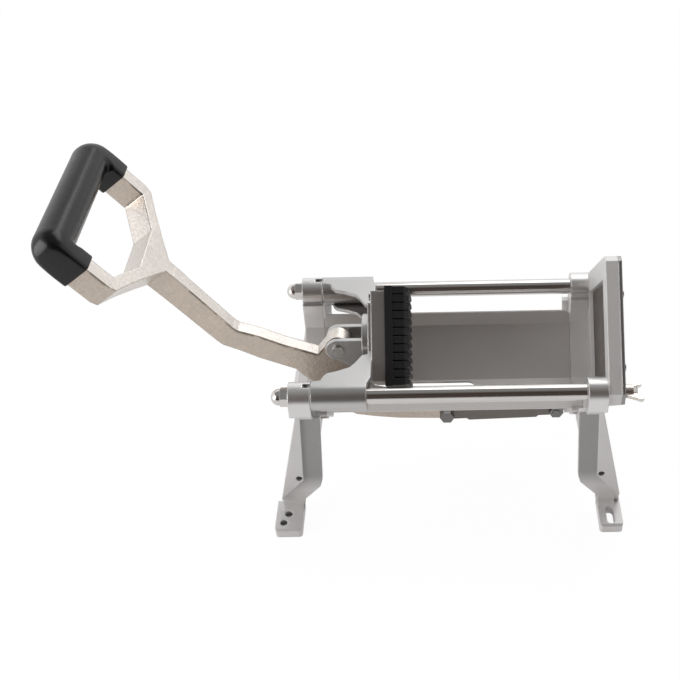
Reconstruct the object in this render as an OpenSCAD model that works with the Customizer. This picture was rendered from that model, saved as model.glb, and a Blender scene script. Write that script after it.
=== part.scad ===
// Lever cutter for potato sticks: a sliding head on two rods pushes the potato through crossed blades.
// The origin lies on the table, midway between the inner screw holes of the two rear feet.
// +X runs along the rods towards the blades, +Y to the back, +Z up.

/* [Rods] */
// Diameter of the guide rods
rod_d = 16; // [12:0.5:20]
// Distance between the axes of the two rods
rod_gap = 160.3; // [150:0.1:180]
// Height of the rod axes above the table
rod_h = 156; // [150:1:190]
// Diameter of the threaded rod ends
thread_d = 10; // [8:0.5:11]
// Length of the threaded end behind the rear frame
rear_thread_l = 11; // [9:0.5:14]
// Length of the threaded end in front of the blade holder
front_thread_l = 12; // [10:0.5:24]

/* [Frames] */
// Place of the rear frame's middle plane along the rods
rear_x = 24; // [20:0.5:30]
// Distance between the middle planes of the two frames
frame_gap = 277.6; // [260:0.2:320]
// Width of the rear rod clamps along the rods
rear_w = 20.8; // [16:0.2:26]
// Width of the front rod clamps along the rods
front_w = 18.7; // [14:0.1:24]
// Outer diameter of the clamps around the rods
clamp_d = 28; // [24:0.5:34]
// Wall of the trough-shaped cross beams
beam_t = 6; // [4:0.5:8]
// Length of the ledges that carry the tray
ledge_l = 11; // [8:0.5:16]
// Wall of the ledges under the tray
ledge_t = 4; // [3:0.5:5]

/* [Legs] */
// Width of the upright leg bar
leg_w = 18.4; // [14:0.2:24]
// Thickness of the leg plate, across the machine
leg_t = 9; // [6:0.5:12]
// Distance from the middle plane of the machine to the outer face of the leg plate
leg_face_y = 90; // [88:0.5:98]
// How far the leg bar passes the clamp towards the middle of the machine
leg_overhang = 6.6; // [2:0.2:8]
// How far the leg bar leans outwards between the clamp and the knee
leg_lean = 4.8; // [0:0.2:8]
// Depth of the step between the side web and the leg bar
leg_step = 2.6; // [1:0.1:4]
// Width of the side web where it leaves the clamp
web_top_w = 3.4; // [2:0.2:6]
// Distance from a clamp's inner face to the side web's edge at the neck
web_reach = 41; // [36:0.5:46]
// Height at which the leg bar turns outwards
knee_h = 51; // [44:0.5:60]
// Height of the narrow neck above the foot
neck_h = 21; // [17:0.5:28]
// Diameter of the hole in the side web
web_hole_d = 6.5; // [4:0.1:8]

/* [Feet] */
// Width of a rear foot along the rods
rear_foot_w = 27.2; // [24:0.2:32]
// Distance from the inner screw holes to the middle of the rear feet, along the rods
rear_foot_x = 1; // [-2:0.1:3]
// Width of a front foot along the rods
front_foot_w = 22.8; // [20:0.2:28]
// Distance from the front clamps' inner face to the middle of the front feet, along the rods
front_foot_x = 30.8; // [26:0.2:36]
// Distance from the middle plane of the machine to the end of a foot
foot_reach = 119.5; // [116:0.5:130]
// Thickness of a foot
foot_t = 10.5; // [7:0.5:14]
// Radius of the foot's corners
foot_r = 3.5; // [2:0.5:6]
// Diameter of the screw holes in the rear feet
foot_hole_d = 7.5; // [5:0.1:9]
// Distance between the two inner screw holes, across the machine
inner_hole_gap = 197; // [194:1:200]
// Distance between the two outer screw holes, across the machine
outer_hole_gap = 219.4; // [216:0.2:222]
// How far the outer holes lie behind the inner ones
outer_hole_back = 4.2; // [2:0.2:6]
// Length of the slots in the front feet, end to end
slot_l = 22; // [16:0.5:24]
// Width of the slots in the front feet
slot_w = 8; // [6:0.1:10]
// Distance between the middles of the two slots
slot_gap = 212; // [208:1:214]

/* [Tray] */
// Half width of the tray's floor
floor_half = 21.5; // [20:0.5:26]
// Distance from the rod axes down to the tray's floor
floor_drop = 76; // [74:0.5:82]
// Half width of the tray between its flanges
tray_half = 62.5; // [60:0.5:64]
// Height of the upright flanges
flange_h = 16.3; // [10:0.1:20]
// Sheet thickness of the tray
tray_t = 2; // [1.2:0.1:3]
// Width of the lever slot in the floor
lever_slot_w = 38; // [30:0.5:39]
// End of the lever slot, from the rear frame's middle plane
lever_slot_end = 167.5; // [165:0.5:172]

/* [Head] */
// Outer diameter of the bearing tubes
tube_d = 28; // [25:0.5:32]
// Length of the bearing tubes
tube_l = 52; // [44:0.5:60]
// Outer diameter of the bearing bushes
bush_d = 20; // [18:0.5:22]
// Length of one bearing bush
bush_l = 15; // [10:0.5:20]
// Thickness of the gusset plates
gusset_t = 4; // [3:0.5:5]
// Free edge of the gussets, from the middle plane
gusset_y = 60; // [56:0.5:62]
// Reach of the gussets towards the middle plane at the push plate
gusset_in_y = 36.5; // [32:0.5:40]
// Thickness of the square push plate
plate_t = 13.3; // [9:0.1:16]
// Side of the square push plate
plate_side = 87; // [82:0.5:92]
// Thickness of the pad between the gussets and the push plate
pad_t = 7; // [6:0.5:9]
// Radius of the round hub of the clevis
hub_r = 26; // [22:0.5:29]
// Thickness of the clevis hub
hub_t = 7; // [4:0.5:9]
// Thickness of a clevis ear
ear_t = 4.5; // [3:0.1:6]
// Radius of the clevis ears around the pin
ear_r = 12; // [10:0.5:14]
// Diameter of the pivot pin
pin_d = 8; // [6:0.5:10]

/* [Push block] */
// Spacing of the studs and of the blades
pitch = 7.94; // [7.5:0.01:8.2]
// Number of studs along one side
cells = 12; // [10:1:12]
// Gap between neighbouring studs
stud_gap = 1.3; // [1.2:0.05:1.8]
// Length of the studs
stud_l = 16; // [10:0.5:20]
// Length of the tapered tips of the studs
tip_l = 5; // [2:0.5:8]
// Thickness of the block behind the studs
block_t = 7.4; // [5:0.1:10]

/* [Blades] */
// Thickness of a blade
blade_t = 0.6; // [0.4:0.05:0.8]
// Width of a blade, along the cut
blade_w = 4.5; // [3:0.1:5]
// Half diagonal of the square blade holder, before its corners are cut
holder_half = 98; // [96:0.5:104]
// Thickness of the blade holder
holder_t = 12; // [11:0.1:14]
// Thickness of the retainer ring
retainer_t = 3.4; // [2:0.1:5]
// Cut of the holder's top and bottom corners
top_cut = 3.7; // [2:0.1:6]
// Cut of the holder's side corners
side_cut = 6.5; // [4:0.1:8]
// Clearance of the push block in the holder's mouth
mouth_clear = 1.2; // [0.6:0.1:2]

/* [Lever] */
// Thickness of the lever
lever_t = 14; // [10:0.5:16]
// Depth of the lever's upper stem
stem_w = 26.5; // [22:0.5:30]
// Slope of the lever's upper stem
stem_tilt = 52.4; // [45:0.2:60]
// Radius of the lever's eye at the links
eye_r = 12; // [10:0.5:13]
// Radius of the lever's boss around the pivot pin
lever_boss_r = 12.5; // [10:0.5:14]
// Half width of the D handle over its bare arms
handle_half = 80; // [70:1:90]
// Width of the D handle's arms, seen along the window
arm_w = 14.5; // [12:0.5:20]
// Depth of the D handle's arms
arm_t = 26; // [20:0.5:28]
// Lower edge of the D handle's window, from the stem's end
window_u = 35.5; // [34:0.5:42]
// Half width of the window's lower edge
window_v = 28.5; // [24:0.5:32]
// Distance from the end of the stem to the grip's axis
grip_reach = 111; // [100:1:125]
// Diameter of the coated grip
grip_d = 34; // [30:0.5:36]
// Diameter of the grip's core
core_d = 27; // [22:0.5:28]
// Where the coating ends, from the stem's end
coat_u = 81; // [70:0.5:90]
// Wall of the vinyl coating on the arms
coat_t = 3; // [1:0.1:3]

/* [Linkage] */
// Place of the head pivot along the rods, from the rear frame's middle plane
pivot_in = 31.2; // [29:0.1:34]
// Distance from the rod axes down to the head pivot
pivot_drop = 2; // [0:0.1:4]
// Place of the lever's lower eye along the rods, from the rear frame's middle plane
eye_in = 137.6; // [134:0.1:142]
// Distance from the rod axes down to the lever's lower eye
eye_drop = 92.4; // [91:0.1:95]
// Place of the fixed anchor pivot along the rods, from the rear frame's middle plane
anchor_in = 250; // [246:0.1:252]
// Distance from the rod axes down to the fixed anchor pivot
anchor_drop = 88.5; // [88:0.1:92]
// Thickness of a link bar
link_t = 5; // [4:0.1:6]
// Height of a link bar at its ends
link_w = 15; // [12:0.5:16]
// Height that the middle of a link bar gains on its lower side
link_step = 2.4; // [1:0.1:4]
// Diameter of the link bolts
link_bolt_d = 8; // [6:0.5:9]

/* [Fasteners] */
// Height of a hexagon head or nut on the links
hex_h = 5; // [4:0.5:7]
// Width across the flats of the hexagons on the links
hex_af = 13; // [11:0.5:14]
// Width across the flats of the acorn nuts
acorn_af = 16.5; // [14:0.5:19]
// Height of the hexagon part of an acorn nut
acorn_hex_h = 8; // [6:0.5:10]
// Hub diameter of a wing nut
wing_hub_d = 13.5; // [12.5:0.5:18]
// Height of a wing nut's hub
wing_hub_h = 8; // [7:0.5:12]
// Span of a wing nut's wings
wing_span = 26; // [24:1:44]
// Diameter of the small screws
screw_d = 4; // [3:0.5:5]

/* [Hidden] */
$fn = 64;

// Overrun of every cut
over = 1;
// Radial clearance of a shaft that turns or slides in its hole
run_fit = 0.05;
// Gap between faces that pass each other
side_gap = 0.4;
// Clearance hole around a screw or thread, in diameter
screw_play = 0.6;

rod_y = rod_gap / 2;
clamp_r = clamp_d / 2;
front_x = rear_x + frame_gap;
rear_inner_x = rear_x + rear_w / 2;
rear_outer_x = rear_x - rear_w / 2;
front_inner_x = front_x - front_w / 2;
front_outer_x = front_x + front_w / 2;
// Length of the small rod shoulder's seat in the rear clamp
shoulder_l = 6;
floor_z = rod_h - floor_drop;
bend_z = floor_z + tray_half - floor_half;
flange_z = bend_z + flange_h;
// Share of a sheet's thickness by which a 45 degree bend moves
bend_share = sqrt(2) - 1;
// Upper end of the beams' side walls, below the rod axes
beam_top_drop = 6;
// Thickness of the web between beam and leg
brace_t = 8;

tray_x0 = rear_inner_x + side_gap;
tray_x1 = front_inner_x - side_gap;
// Radius of the lever slot's closed corners
slot_corner_r = 8;
// Radius of the tray flanges' upper corners
flange_r = 6;
tray_screw_y = tray_half - (tray_half - floor_half) / 2;
tray_screw_z = (floor_z + bend_z) / 2;

head_x0 = rear_inner_x + side_gap;
head_x1 = head_x0 + tube_l;
// Points along a gusset's free edge, from the tube's rear end and the middle plane
gusset_edge = [[over, 74.5], [9, 73], [11, 67.5], [14, 63.5], [25, gusset_y], [35, 55.5], [39.5, 50],
    [46, 39], [tube_l, gusset_in_y]];
// Half width of the wall that joins the two bearing tubes
wall_half = rod_y - bush_d / 2 - screw_play;
plate_x0 = head_x1 + pad_t - hub_t / 2;
plate_x1 = plate_x0 + plate_t;
block_side = cells * pitch;
block_x1 = plate_x1 + block_t;
stud_tip_x = block_x1 + stud_l;
stud_r = (pitch - stud_gap) / sqrt(2);
// Share of a stud's width that its tip keeps
tip_share = 0.45;
tip_r = stud_r * tip_share;

holder_x0 = front_outer_x;
holder_x1 = holder_x0 + holder_t;
retainer_x1 = holder_x1 + retainer_t;
mouth_side = block_side + 2 * mouth_clear;
blade_x0 = holder_x0 + holder_t - 2 * blade_w - side_gap;
blade_x1 = blade_x0 + blade_w + side_gap;
// Depth of the blade seats beside the mouth
blade_seat = 5;
stroke = blade_x0 + blade_w / 2 - stud_tip_x;

pivot = [rear_x + pivot_in, rod_h - pivot_drop];
eye = [rear_x + eye_in, rod_h - eye_drop];
anchor = [rear_x + anchor_in, rod_h - anchor_drop];
// How far the lever's pivot boss stands proud of the lever on each side
boss_proud = 1.2;
ear_y0 = lever_t / 2 + boss_proud + side_gap;
ear_y1 = ear_y0 + ear_t;
link_y0 = lever_t / 2 + side_gap;
link_y1 = link_y0 + link_t;

// Where the upper stem meets the D handle, from the head pivot
stem_reach = 157.8;
stem_rise = 83;
stem_end = pivot + [-stem_reach, stem_rise];
// Points along the lever's upper edge, from the head pivot, ending inside the pivot boss
lever_top = [[-101, 27.5], [-96, 22.5], [-77, 15.5], [-52, 3], [-21, -9.5], [-7.5, 9.3]];
// Points along the inner edge of the lower arm, from the pivot boss to the eye
lever_inner = [[8, -5], [13.5, -42], [19, -56], [33, -66], [62, -73.5]];
// Points along the lever's lower edge, from the eye back to the upper stem
lever_low = [[57, -100.2], [31, -97], [12, -93.5], [4, -88], [-27, -48], [-35, -40.5],
    [-45, -28.5], [-79, -13], [-97.5, -2.5], [-113, 5], [-118, 10]];
// Share of the eye's radius at which the arm's edges enter it
eye_share = 0.94;
// Half width of the grip over its coating
coat_half = handle_half + coat_t;
// Radius of the coating's outer corners, and of the edges along its arms
corner_r = grip_d / 2 - side_gap;
coat_edge_r = 8;
// Where the D handle's arms become straight, from the stem's end
arm_u = 56;

// A flat outline in the YZ plane, extruded along +X from x
module along_x(x, len) translate([x, 0, 0]) rotate([90, 0, 90]) linear_extrude(len) children();
// A flat outline in the XZ plane, extruded along +Y from y
module along_y(y, len) translate([0, y + len, 0]) rotate([90, 0, 0]) linear_extrude(len) children();
// A round bar along +X
module bar_x(d, x, len, y, z) translate([x, y, z]) rotate([0, 90, 0]) cylinder(d = d, h = len);
// A round bar along +Y
module bar_y(d, y, len, at) translate([at[0], y, at[1]]) rotate([-90, 0, 0]) cylinder(d = d, h = len);
// A square that stands on a corner, given by its side
module diamond(side) rotate(45) square(side, center = true);
module both_sides() {
    children();
    mirror([0, 1, 0]) children();
}
// Section of the trough between two depths below its inner surface, up to a given height
module trough(t0, t1, top) {
    function half(t, top) = [[floor_half + t * bend_share, floor_z - t],
        [tray_half + t, bend_z - t * bend_share], [tray_half + t, top]];
    a = half(t1, top);
    b = half(t0, top);
    polygon([[-a[0][0], a[0][1]], a[0], a[1], a[2], b[2], b[1], b[0],
        [-b[0][0], b[0][1]], [-b[1][0], b[1][1]], [-b[2][0], b[2][1]],
        [-a[2][0], a[2][1]], [-a[1][0], a[1][1]]]);
}

// Section of a rod clamp: round above the rod axis, square below it
module clamp_section() translate([rod_y, rod_h]) {
    circle(clamp_r);
    translate([-clamp_r, -clamp_r]) square([clamp_d, clamp_r]);
}

// Web between the beam and the leg, seen along the rods
module brace_section() polygon([[tray_half, bend_z], [rod_y - clamp_r, rod_h - clamp_r],
    [leg_face_y - leg_t / 2, rod_h - clamp_r], [leg_face_y - leg_t / 2, floor_z],
    [floor_half + beam_t * bend_share, floor_z - beam_t]]);

// Outline of a leg seen from the side; u points away from the middle of the machine
module leg_outline(foot_u, foot_w) polygon([[-leg_w / 2, leg_top], [leg_overhang - leg_w / 2, leg_top],
    [leg_overhang - leg_w / 2, rod_h - clamp_r + over], [leg_w / 2 + web_top_w, rod_h - clamp_r + over],
    [web_u, neck_h + leg_step], [web_u, foot_t / 2],
    [foot_u - foot_w / 2, foot_t / 2], [foot_u - foot_w / 2 - leg_step, neck_h],
    [leg_lean - leg_w / 2 + leg_step, knee_h - leg_w / 2 - leg_step],
    [leg_lean - leg_w / 2, knee_h - leg_step]]);
// Height of the small ledge beside the clamp, where the leg bar ends
leg_top = rod_h - clamp_r - beam_top_drop;
// The side web's edge at the neck, from the middle of the leg bar
web_u = web_reach + leg_overhang - leg_w / 2;

// The bar of the leg, which lies behind the side web
module leg_bar_cut() polygon([[-leg_w, leg_top], [leg_w / 2, leg_top],
    [leg_w / 2 + leg_lean, knee_h], [web_u + over, neck_h], [web_u + over, foot_t], [-leg_w, foot_t]]);

module leg(foot_u, foot_w) {
    cove_r = leg_t;
    difference() {
        along_y(leg_face_y - leg_t, leg_t) leg_outline(foot_u, foot_w);
        along_y(leg_face_y - leg_step, leg_step + over) leg_bar_cut();
        bar_y(web_hole_d, leg_face_y - leg_t - over, leg_t + 2 * over,
            [leg_w / 2 + leg_lean + web_hole_d - leg_step, knee_h + leg_step]);
    }
    difference() {
        translate([foot_u - foot_w / 2, leg_face_y - leg_t, foot_t - over])
            cube([foot_w * neck_share, leg_t + cove_r, cove_r + over]);
        bar_x(2 * cove_r, foot_u - foot_w / 2 - over, foot_w + 2 * over,
            leg_face_y - leg_step + cove_r, foot_t + cove_r);
        translate([foot_u - foot_w / 2 - over, leg_face_y - leg_step + cove_r, foot_t])
            cube([foot_w + 2 * over, cove_r, cove_r + over]);
    }
    difference() {
        translate([foot_u, 0, 0]) linear_extrude(foot_t) foot_outline(foot_w);
        translate([foot_u - foot_w / 2 - over, foot_reach, foot_t]) rotate([45, 0, 0])
            translate([0, -leg_step / 2, -leg_step / 2]) cube([foot_w + 2 * over, leg_step, leg_step]);
    }
}
// Share of the foot's width that the neck above it takes
neck_share = 0.75;

module foot_outline(foot_w) {
    foot_y0 = leg_face_y - leg_t;
    translate([-foot_w / 2 + foot_r, foot_y0]) square([foot_w - 2 * foot_r, foot_reach - foot_y0]);
    translate([-foot_w / 2, foot_y0]) square([foot_w, foot_reach - foot_y0 - foot_r]);
    for (side = [-1, 1]) translate([side * (foot_w / 2 - foot_r), foot_reach - foot_r]) circle(foot_r);
}

// One cast frame; out is -1 for the rear frame and 1 for the front frame
module frame_body(x, w, out) {
    inner = x - out * w / 2;
    leg_x = inner + out * (leg_w / 2 - leg_overhang);
    foot_u = out > 0 ? front_foot_x + leg_overhang - leg_w / 2 : leg_x - rear_foot_x;
    ledge_x = out > 0 ? inner - ledge_l : inner;
    along_x(x - w / 2, w) trough(0, beam_t, rod_h - beam_top_drop);
    along_x(ledge_x, ledge_l) difference() {
        trough(tray_t, tray_t + ledge_t, bend_z);
        translate([-lever_slot_w / 2, 0]) square([lever_slot_w, rod_h]);
    }
    both_sides() {
        along_x(x - w / 2, w) clamp_section();
        along_x(out > 0 ? inner : inner - brace_t, brace_t) brace_section();
        translate([leg_x, 0, 0]) mirror([out > 0 ? 0 : 1, 0, 0])
            leg(foot_u, out > 0 ? front_foot_w : rear_foot_w);
    }
}

// Holes for the screws that hold the tray to a ledge
module tray_screw_holes(x) both_sides() translate([x, tray_screw_y, tray_screw_z]) rotate([45, 0, 0])
    translate([0, 0, -ledge_t - tray_t - over])
        cylinder(d = screw_d + 2 * run_fit, h = ledge_t + tray_t + 2 * over);

module rear_frame() color("silver") difference() {
    frame_body(rear_x, rear_w, -1);
    both_sides() {
        bar_x(rod_d + 2 * run_fit, rear_outer_x + shoulder_l, rear_w, rod_y, rod_h);
        bar_x(thread_d + screw_play, rear_outer_x - over, rear_w, rod_y, rod_h);
        translate([set_screw_x, rod_y, rod_h]) cylinder(d = set_screw_d + 2 * run_fit, h = clamp_d);
        translate([set_screw_x - set_screw_d / 2, rod_y - set_screw_d / 2, rod_h + clamp_r - notch_depth])
            cube([rear_inner_x - set_screw_x + set_screw_d, set_screw_d, notch_depth + over]);
    }
    tray_screw_holes(rear_inner_x + ledge_l / 2);
    both_sides() {
        translate([0, inner_hole_gap / 2, -over]) cylinder(d = foot_hole_d, h = foot_t + 2 * over);
        translate([-outer_hole_back, outer_hole_gap / 2, -over])
            cylinder(d = foot_hole_d, h = foot_t + 2 * over);
    }
}
set_screw_d = 5;
set_screw_x = rear_inner_x - set_screw_d * 0.9;
// Depth of the notch above a grub screw
notch_depth = 2.2;

slot_x = front_inner_x + front_foot_x;
// Height of the lug that holds the anchor bolt
lug_r = 9;

module front_frame() color("silver") difference() {
    union() {
        frame_body(front_x, front_w, 1);
        along_y(-lever_t / 2, lever_t) {
            translate(anchor) circle(lug_r);
            polygon([[anchor[0], anchor[1] - lug_r], [front_inner_x + beam_t, floor_z - beam_t - lug_r],
                [front_outer_x - beam_t, floor_z - beam_t / 2], [front_inner_x, floor_z - beam_t / 2],
                [front_inner_x - side_gap, anchor[1] + lug_r - side_gap], [anchor[0], anchor[1] + lug_r]]);
        }
    }
    both_sides() bar_x(rod_d + 2 * run_fit, front_inner_x - over, front_w + 2 * over, rod_y, rod_h);
    along_x(front_inner_x - over, front_w + 2 * over) translate([0, rod_h]) diamond(mouth_side);
    bar_y(link_bolt_d + 2 * run_fit, -lever_t, 2 * lever_t, anchor);
    tray_screw_holes(front_inner_x - ledge_l / 2);
    both_sides() translate([slot_x, slot_gap / 2, -over]) linear_extrude(foot_t + 2 * over) {
        square([slot_w, slot_l - slot_w], center = true);
        for (end = [-1, 1]) translate([0, end * (slot_l - slot_w) / 2]) circle(d = slot_w);
    }
}

// Bent sheet tray with a slot for the lever
module v_tray() color("lightgray") difference() {
    along_x(tray_x0, tray_x1 - tray_x0) trough(0, tray_t, flange_z);
    translate([tray_x0 - over, -lever_slot_w / 2, floor_z - tray_t - over])
        cube([rear_x + lever_slot_end - slot_corner_r - tray_x0 + over, lever_slot_w, tray_t + 2 * over]);
    translate([tray_x0, -lever_slot_w / 2 + slot_corner_r, floor_z - tray_t - over])
        cube([rear_x + lever_slot_end - tray_x0, lever_slot_w - 2 * slot_corner_r, tray_t + 2 * over]);
    both_sides() translate([rear_x + lever_slot_end - slot_corner_r, lever_slot_w / 2 - slot_corner_r,
        floor_z - tray_t - over]) cylinder(r = slot_corner_r, h = tray_t + 2 * over);
    tray_screw_holes(rear_inner_x + ledge_l / 2);
    tray_screw_holes(front_inner_x - ledge_l / 2);
    both_sides() for (end = [[tray_x0, 0], [tray_x1, 1]]) difference() {
        translate([end[0] - flange_r, tray_half - over, flange_z - flange_r])
            cube([2 * flange_r, tray_t + 2 * over, flange_r + over]);
        bar_y(2 * flange_r, tray_half - 2 * over, tray_t + 4 * over,
            [end[0] + (1 - 2 * end[1]) * flange_r, flange_z - flange_r]);
        translate([end[0] + (end[1] > 0 ? -2 * flange_r - over : flange_r), tray_half - 2 * over,
            flange_z - flange_r])
            cube([flange_r + over, tray_t + 4 * over, flange_r + 2 * over]);
    }
}

// Screws from below through the ledges into the tray, flush inside it
module tray_screws() color("gainsboro") both_sides()
    for (x = [rear_inner_x + ledge_l / 2, front_inner_x - ledge_l / 2])
        translate([x, tray_screw_y, tray_screw_z]) rotate([45, 0, 0]) translate([0, 0, -ledge_t - tray_t]) {
            cylinder(d = screw_d, h = ledge_t + tray_t);
            translate([0, 0, -screw_d / 2]) cylinder(d = 2 * screw_d, h = screw_d / 2);
        }

// One guide rod with its threaded ends
module guide_rod(y) color("whitesmoke") {
    bar_x(rod_d, rear_outer_x + shoulder_l, front_outer_x - rear_outer_x - shoulder_l, y, rod_h);
    bar_x(thread_d, rear_outer_x - rear_thread_l, rear_thread_l + shoulder_l, y, rod_h);
    bar_x(thread_d, front_outer_x, holder_t + retainer_t + front_thread_l, y, rod_h);
}
module guide_rod_front() guide_rod(-rod_y);
module guide_rod_back() guide_rod(rod_y);

// Domed nuts on the rear ends of the rods
module acorn_nuts() color("whitesmoke") both_sides() translate([rear_outer_x, rod_y, rod_h])
    rotate([0, -90, 0]) difference() {
        union() {
            cylinder(d = acorn_af / cos(30), h = acorn_hex_h, $fn = 6);
            translate([0, 0, acorn_hex_h]) cylinder(d = acorn_af - screw_play, h = acorn_dome_h);
            translate([0, 0, acorn_hex_h + acorn_dome_h]) intersection() {
                sphere(d = acorn_af - screw_play);
                translate([-acorn_af, -acorn_af, 0]) cube(2 * acorn_af);
            }
        }
        translate([0, 0, -over]) cylinder(d = thread_d + 2 * run_fit, h = rear_thread_l + over + run_fit);
    }
acorn_dome_h = 1.2;

// Grub screws that lock the rods in the rear clamps
module set_screws() color("dimgray") both_sides()
    translate([set_screw_x, rod_y, rod_h + rod_d / 2 + side_gap]) difference() {
        cylinder(d = set_screw_d, h = clamp_r - rod_d / 2 - side_gap - notch_depth);
        translate([0, 0, clamp_r - rod_d / 2 - side_gap - notch_depth - set_screw_d / 3])
            cylinder(d = set_screw_d / 2, h = clamp_r, $fn = 6);
    }

// Outline of a gusset from its tube to the pad, seen from above
module gusset_outline() translate([head_x0, 0]) polygon(concat(gusset_edge,
    [[tube_l + pad_t / 2, gusset_in_y], [tube_l + pad_t / 2, wall_half], [tube_l - over, rod_y],
    [gusset_edge[0][0], rod_y]]));

// Outline of a clevis ear, seen from the side
module ear_outline() {
    translate(pivot) circle(ear_r);
    polygon([[pivot[0], pivot[1] + ear_r], [head_x1, pivot[1] + ear_r], [head_x1, pivot[1] - ear_r / 2],
        [pivot[0] + 2 * ear_r, pivot[1] - ear_r - ear_t], [pivot[0] + ear_r, pivot[1] - ear_r - 2 * ear_t],
        [pivot[0], pivot[1] - ear_r]]);
}

// Sliding head: two bearing tubes, gussets, push plate and the clevis for the lever
module slide_head() color("silver") difference() {
    union() {
        both_sides() {
            bar_x(tube_d, head_x0, tube_l, rod_y, rod_h);
            for (z = [rod_h + tube_d / 2 - gusset_t, rod_h - tube_d / 2])
                translate([0, 0, z]) linear_extrude(gusset_t) gusset_outline();
            along_y(ear_y0, ear_t) ear_outline();
        }
        along_x(head_x1 - side_gap, plate_x0 - head_x1 + side_gap) {
            translate([0, rod_h]) diamond(plate_side - 3 * pad_t);
            translate([-wall_half, rod_h - tube_d / 2]) square([2 * wall_half, tube_d]);
        }
        bar_x(2 * hub_r, head_x1 - hub_t, hub_t, 0, rod_h);
        along_x(plate_x0, plate_t) translate([0, rod_h]) diamond(plate_side);
    }
    both_sides() {
        bar_x(rod_d + screw_play, head_x0 - over, tube_l + 2 * over, rod_y, rod_h);
        for (x = [head_x0 - over, head_x1 - bush_l])
            bar_x(bush_d, x, bush_l + over, rod_y, rod_h);
    }
    bar_y(pin_d, -ear_y1 - over, 2 * (ear_y1 + over), pivot);
    along_y(-ear_y0, 2 * ear_y0) translate(pivot) circle(lever_boss_r + side_gap);
    push_screw_places() {
        translate([0, 0, -over]) cylinder(d = screw_d + 2 * run_fit, h = plate_t + 2 * over);
        translate([0, 0, -pad_t]) cylinder(d = 2 * (screw_d + screw_play), h = pad_t);
    }
}

// Bearing bushes in both ends of the tubes
module head_bushes() color("peru") both_sides() for (x = [head_x0, head_x1 - bush_l]) difference() {
    bar_x(bush_d, x, bush_l, rod_y, rod_h);
    bar_x(rod_d + 2 * run_fit, x - over, bush_l + 2 * over, rod_y, rod_h);
}

// Places of the four screws that hold the push block, from the rear face of the plate
module push_screw_places() translate([plate_x0, 0, rod_h]) rotate([0, 90, 0]) rotate(45)
    for (a = [-1, 1], b = [-1, 1]) translate([a, b] * (plate_side / 2 - screw_inset)) children();
// Distance of the block's screws from the edges of the push plate
screw_inset = 4.8;

// Square moulded block with studs that reach between the blades
module push_block() color("black") difference() {
    translate([plate_x1, 0, rod_h]) rotate([0, 90, 0]) rotate(45) {
        translate([-block_side / 2, -block_side / 2, 0]) cube([block_side, block_side, block_t]);
        for (i = [0 : cells - 1], j = [0 : cells - 1])
            translate([(i + 0.5) * pitch - block_side / 2, (j + 0.5) * pitch - block_side / 2, block_t])
                rotate(45) {
                    cylinder(r = stud_r, h = stud_l - tip_l, $fn = 4);
                    translate([0, 0, stud_l - tip_l]) cylinder(r1 = stud_r, r2 = tip_r, h = tip_l, $fn = 4);
                }
    }
    push_screw_places() cylinder(d = screw_d, h = plate_t + block_t / 2 + run_fit);
}

module push_screws() color("gainsboro") push_screw_places() {
    cylinder(d = screw_d, h = plate_t + block_t / 2);
    translate([0, 0, -screw_d / 2]) cylinder(d = 2 * screw_d, h = screw_d / 2);
}

// Headed pin through the clevis and the lever
module pivot_pin() color("gainsboro") difference() {
    union() {
        bar_y(pin_d, -ear_y1, 2 * ear_y1 + clip_t + 2 * screw_play, pivot);
        bar_y(pin_head_d, -ear_y1 - screw_d / 2, screw_d / 2, pivot);
    }
    difference() {
        bar_y(pin_d + over, ear_y1, clip_t, pivot);
        bar_y(pin_d - clip_t, ear_y1 - over, clip_t + 2 * over, pivot);
    }
}
pin_head_d = 12;
clip_t = 1.2;

// Retaining ring in the groove of the pin, open on one side
module pivot_clip() color("dimgray") difference() {
    bar_y(pin_d + 4 * clip_t, ear_y1, clip_t, pivot);
    bar_y(pin_d - clip_t, ear_y1 - over, clip_t + 2 * over, pivot);
    translate([pivot[0] - clip_t, ear_y1 - over, pivot[1] - pin_d])
        cube([2 * clip_t, clip_t + 2 * over, pin_d]);
}

// Outline of the lever in its own plane
module lever_outline() {
    stem_turn = 180 - stem_tilt;
    side = [sin(stem_turn), -cos(stem_turn)] * stem_w / 2;
    translate(pivot) polygon(concat([stem_end - pivot + side], lever_top, lever_inner,
        [eye - pivot + [0, eye_r * eye_share], eye - pivot - [0, eye_r * eye_share]],
        lever_low, [stem_end - pivot - side]));
    translate(eye) circle(eye_r);
}

// Half outline of the D handle in its own plane, from the stem's end to the grip
module handle_outline() difference() {
    polygon(concat(yoke_points, [[grip_reach, handle_half], [grip_reach, -over], [-stem_w / 2, -over]]));
    polygon([[window_u, -2 * over], [window_u, window_v], [arm_u, handle_half - arm_w],
        [grip_reach + over, handle_half - arm_w], [grip_reach + over, -2 * over]]);
}
// Points along the outer edge of the D handle's yoke
yoke_points = [[-stem_w / 2, lever_t / 2 + side_gap], [8.5, 8], [18.5, 23.5], [36, 53],
    [48.5, handle_half - 3], [arm_u, handle_half]];

// Places a handle shape: its X runs along the upper stem, its Y across the machine
module on_handle() translate([stem_end[0], 0, stem_end[1]]) rotate([0, stem_tilt - 180, 0]) children();

// Core of the grip, which the coating surrounds
module grip_core() {
    both_sides() translate([coat_u - over, handle_half - arm_w, -arm_t / 2])
        cube([grip_reach - coat_t - coat_u + over, arm_w, arm_t]);
    translate([grip_reach, -handle_half + arm_w / 2, 0]) rotate([-90, 0, 0])
        cylinder(d = core_d, h = 2 * handle_half - arm_w);
}

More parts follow.
